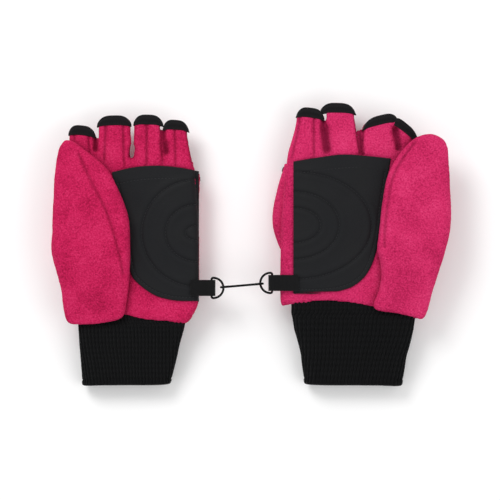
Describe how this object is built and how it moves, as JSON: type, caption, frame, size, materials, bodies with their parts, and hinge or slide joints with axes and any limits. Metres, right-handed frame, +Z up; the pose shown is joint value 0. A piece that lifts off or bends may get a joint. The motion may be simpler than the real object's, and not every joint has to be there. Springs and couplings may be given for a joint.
{
  "type": "convertible flip-top mittens",
  "caption": "Half-finger fleece gloves with mitten hoods that fold back behind the hand, rib-knit cuffs, grip patches on the palms, and D-rings clipped together by a wire link",
  "frame": {"origin": "middle of the pair's footprint, on the surface that the gloves lie on", "axes": "+Z up out of the palms, +Y towards the fingertips, +X from the left-hand glove to the right-hand glove"},
  "size_m": [0.3216, 0.2238, 0.0451],
  "materials": {
    "pink_fleece": "brushed pile",
    "rib_knit": "ribbed knit",
    "knit_binding": "fine knit",
    "grip_patch": "suede-like grip fabric",
    "webbing": "woven webbing",
    "hook_fastener": "hook tape",
    "loop_fastener": "loop tape",
    "black_wire": "gloss black"
  },
  "bodies": {
    "left_glove": {"left_back_panel": "pink_fleece", "left_index_binding": "knit_binding", "left_index_finger": "pink_fleece", "left_little_binding": "knit_binding", "left_little_finger": "pink_fleece", "left_loop_patch": "loop_fastener", "left_middle_binding": "knit_binding", "left_middle_finger": "pink_fleece", "left_palm_panel": "pink_fleece", "left_palm_patch": "grip_patch", "left_rib_cuff": "rib_knit", "left_ring_binding": "knit_binding", "left_ring_finger": "pink_fleece", "left_side_tab": "webbing", "left_thumb_back_panel": "pink_fleece", "left_thumb_front_panel": "pink_fleece", "left_thumb_gusset": "pink_fleece"},
    "left_hood": {"left_hood_back_panel": "pink_fleece", "left_hood_palm_panel": "pink_fleece", "left_hood_binding": "knit_binding", "left_hook_patch": "hook_fastener"},
    "left_ring": {"left_d_ring": "black_wire"},
    "right_glove": {"right_back_panel": "pink_fleece", "right_index_binding": "knit_binding", "right_index_finger": "pink_fleece", "right_little_binding": "knit_binding", "right_little_finger": "pink_fleece", "right_loop_patch": "loop_fastener", "right_middle_binding": "knit_binding", "right_middle_finger": "pink_fleece", "right_palm_panel": "pink_fleece", "right_palm_patch": "grip_patch", "right_rib_cuff": "rib_knit", "right_ring_binding": "knit_binding", "right_ring_finger": "pink_fleece", "right_side_tab": "webbing", "right_thumb_back_panel": "pink_fleece", "right_thumb_front_panel": "pink_fleece", "right_thumb_gusset": "pink_fleece"},
    "right_hood": {"right_hood_back_panel": "pink_fleece", "right_hood_palm_panel": "pink_fleece", "right_hood_binding": "knit_binding", "right_hook_patch": "hook_fastener"},
    "right_ring": {"right_d_ring": "black_wire"},
    "link": {"ring_link": "black_wire"}
  },
  "joints": [
    {"name": "left_hood_flip", "type": "hinge", "parent": "left_glove", "child": "left_hood", "pos_m": [-0.09416, 0.05815, 0.0164], "axis": [1, 0, 0], "range_deg": [0, 180], "deforming": ["left_hood_palm_panel", "left_hood_binding"]},
    {"name": "right_hood_flip", "type": "hinge", "parent": "right_glove", "child": "right_hood", "pos_m": [0.08116, 0.06615, 0.0164], "axis": [1, 0, 0], "range_deg": [0, 180], "deforming": ["right_hood_palm_panel", "right_hood_binding"]},
    {"name": "left_ring_swing", "type": "hinge", "parent": "left_glove", "child": "left_ring", "pos_m": [-0.03066, -0.03485, 0.0302], "axis": [0, -1, 0], "range_deg": [-80, 80]},
    {"name": "left_hook_swing", "type": "hinge", "parent": "left_ring", "child": "link", "pos_m": [-0.02129, -0.03414, 0.0302], "axis": [-0.0871, 0.9962, 0], "range_deg": [-80, 80]},
    {"name": "right_hook_swing", "type": "hinge", "parent": "link", "child": "right_ring", "pos_m": [0.00829, -0.03156, 0.0302], "axis": [-0.0871, 0.9962, 0], "range_deg": [-80, 80]},
    {"name": "right_ring_swing", "type": "hinge", "parent": "right_ring", "child": "right_glove", "pos_m": [0.01766, -0.03085, 0.0302], "axis": [0, -1, 0], "range_deg": [-80, 80]}
  ]
}
